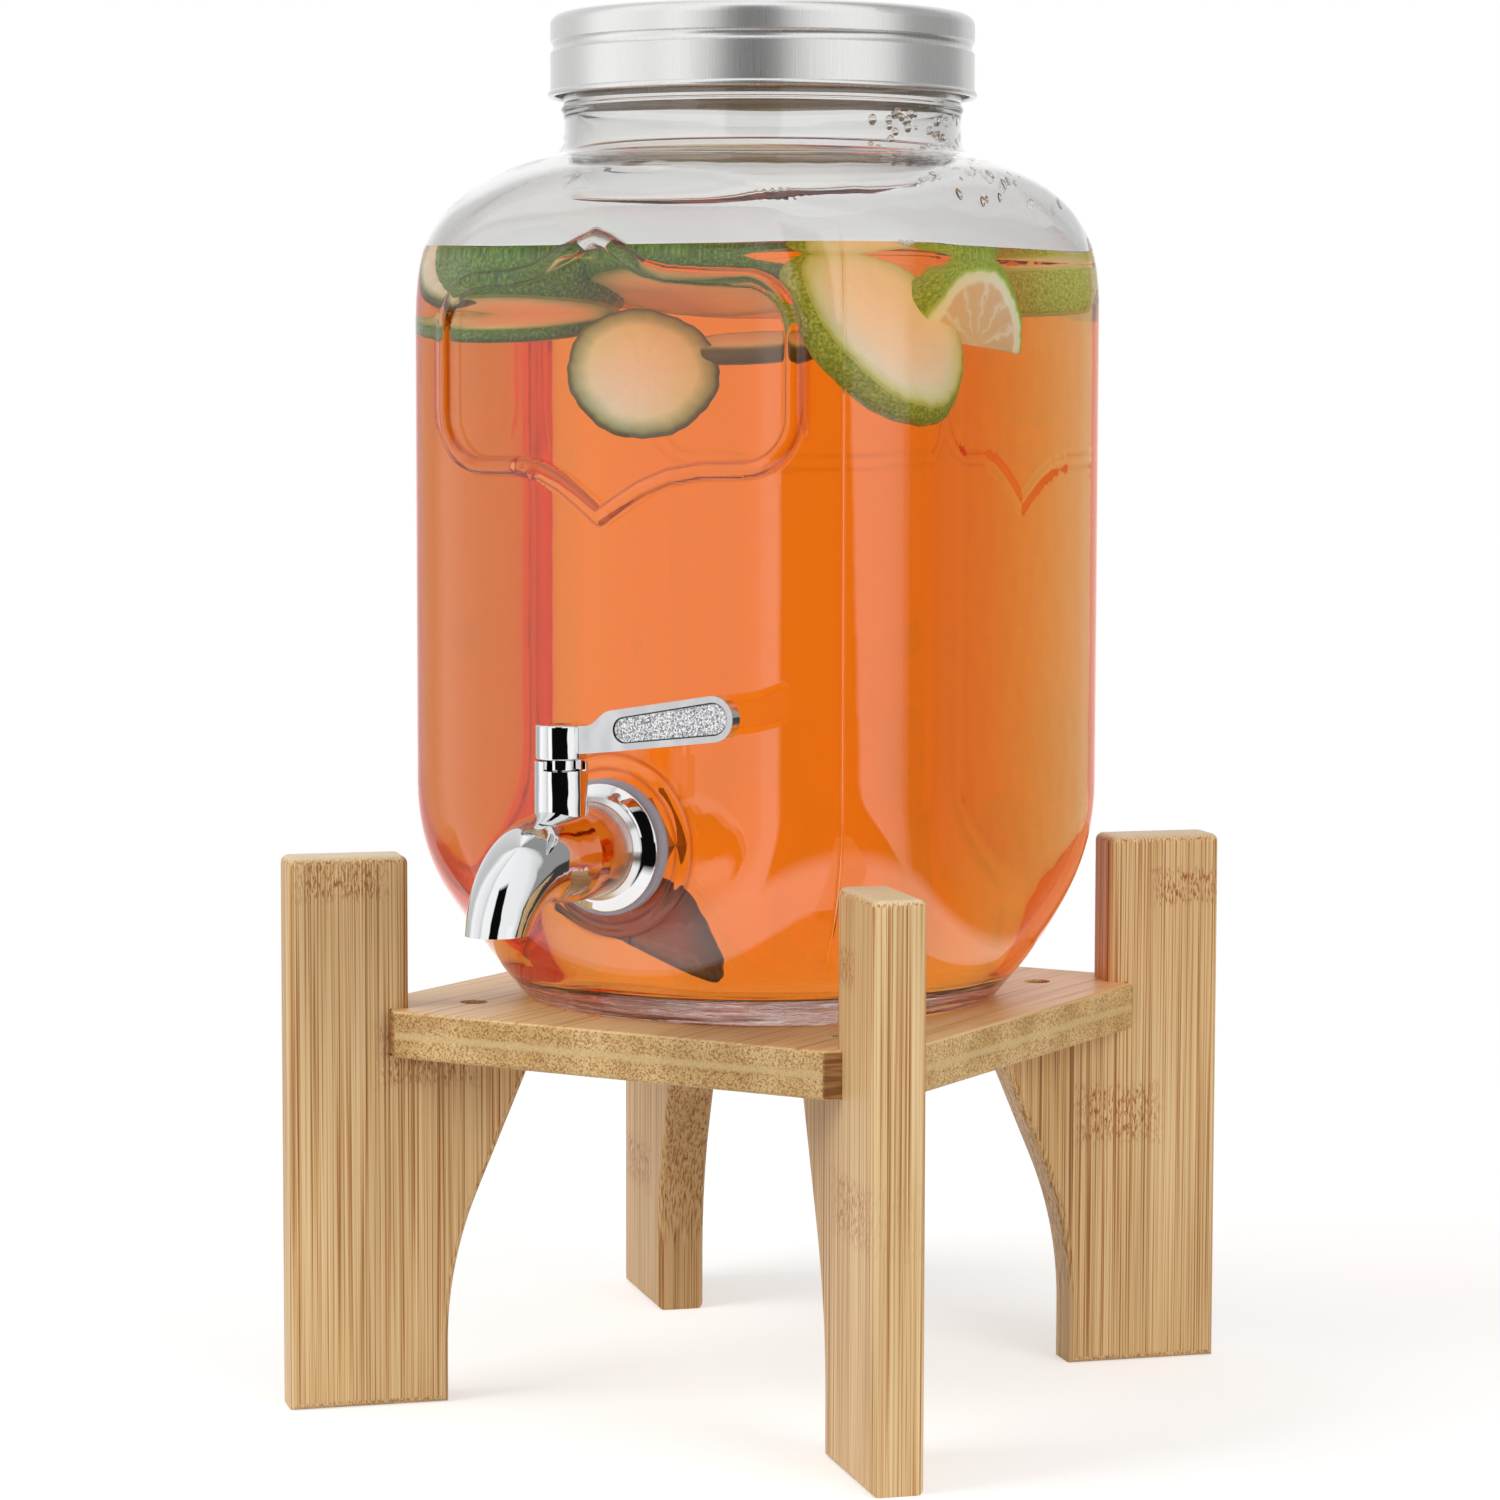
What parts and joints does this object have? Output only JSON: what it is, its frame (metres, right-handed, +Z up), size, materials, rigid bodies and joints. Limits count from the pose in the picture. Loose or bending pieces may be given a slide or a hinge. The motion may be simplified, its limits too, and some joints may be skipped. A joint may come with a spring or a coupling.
{
  "type": "drink dispenser",
  "caption": "Square glass jar dispenser with a screw lid and a lever tap, lifted on a bamboo shelf between diagonal plank legs, for serving cold drinks.",
  "frame": {"origin": "on the floor, below the middle of the stand and of the jar", "axes": "+Z up, -Y to the front, where the tap points; the shelf board's edges lie along X and Y"},
  "size_m": [0.1924, 0.2346, 0.3696],
  "materials": {
    "bamboo": "satin lacquered bamboo",
    "glass": "clear pressed glass",
    "chrome": "polished",
    "lid_steel": "brushed, satin",
    "plain_steel": "plain",
    "silicone": "translucent silicone",
    "seal_rubber": "matte",
    "liner": "matte"
  },
  "bodies": {
    "stand": {"shelf_board": "bamboo", "leg_front_left": "bamboo", "leg_front_right": "bamboo", "leg_back_left": "bamboo", "leg_back_right": "bamboo", "leg_screw_front_left": "plain_steel", "leg_screw_front_right": "plain_steel", "leg_screw_back_left": "plain_steel", "leg_screw_back_right": "plain_steel"},
    "jar": {"glass_jar": "glass", "spigot_body": "chrome", "spigot_flange": "chrome", "outer_gasket": "silicone", "inner_gasket": "silicone", "nut_washer": "plain_steel", "lock_nut": "plain_steel", "stem_retaining_ring": "plain_steel"},
    "lever": {"valve_plug": "chrome", "stem_o_ring_lower": "seal_rubber", "stem_o_ring_upper": "seal_rubber", "lever_handle": "chrome", "lever_screw": "plain_steel"},
    "lid_seal": {"lid_liner": "liner"},
    "lid": {"lid_cap": "lid_steel"}
  },
  "joints": [
    {"name": "jar_lift", "type": "slide", "parent": "stand", "child": "jar", "axis": [0, 0, 1], "range_m": [0, 0.06]},
    {"name": "lever_turn", "type": "hinge", "parent": "jar", "child": "lever", "pos_m": [0, -0.1007, 0.154], "axis": [0, 0, -1], "range_deg": [0, 90]},
    {"name": "lid_rise", "type": "slide", "parent": "jar", "child": "lid_seal", "axis": [0, 0, 1], "range_m": [0, 0.0256]},
    {"name": "lid_turn", "type": "hinge", "parent": "lid_seal", "child": "lid", "pos_m": [0, 0, 0.36], "axis": [0, 0, 1], "range_deg": [0, 1800]}
  ],
  "couplings": [
    {"joint": "lid_rise", "follows": "lid_turn", "m_per_rad": 0.00080851}
  ]
}
